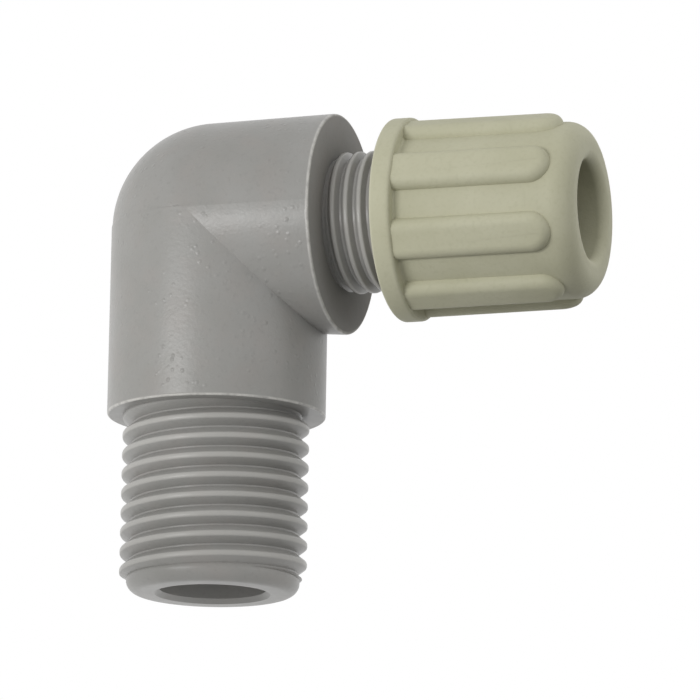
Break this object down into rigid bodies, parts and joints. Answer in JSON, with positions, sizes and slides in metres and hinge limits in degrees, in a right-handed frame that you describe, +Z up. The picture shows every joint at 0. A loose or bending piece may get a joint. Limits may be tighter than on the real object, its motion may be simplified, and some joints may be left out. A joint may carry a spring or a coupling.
{
  "type": "push to connect elbow fitting",
  "caption": "Moulded elbow with a male pipe thread and a ribbed hand nut that grips and seals a pushed-in tube.",
  "frame": {"origin": "centre of the pipe thread's end face", "axes": "+Z up the pipe thread towards the elbow's corner, +X along the tube leg, away from the corner"},
  "size_m": [0.0358, 0.016, 0.0346],
  "materials": {
    "grey_plastic": "satin moulded",
    "olive_plastic": "fine matte moulded",
    "spring_steel": "stamped stainless sheet",
    "white_plastic": "turned",
    "black_rubber": "moulded"
  },
  "bodies": {
    "elbow": {"elbow_body": "grey_plastic", "o_ring": "black_rubber"},
    "grip_stack": {"grab_ring": "spring_steel", "spacer_ring": "white_plastic"},
    "nut": {"compression_nut": "olive_plastic"}
  },
  "joints": [
    {"name": "nut_travel", "type": "slide", "parent": "elbow", "child": "grip_stack", "axis": [1, 0, 0], "range_m": [-0.0028, 0.003]},
    {"name": "nut_turn", "type": "hinge", "parent": "grip_stack", "child": "nut", "pos_m": [0.0205, 0, 0.0266], "axis": [1, 0, 0], "range_deg": [-1008, 1080]}
  ],
  "couplings": [
    {"joint": "nut_turn", "follows": "nut_travel", "rad_per_m": 6283.2}
  ]
}
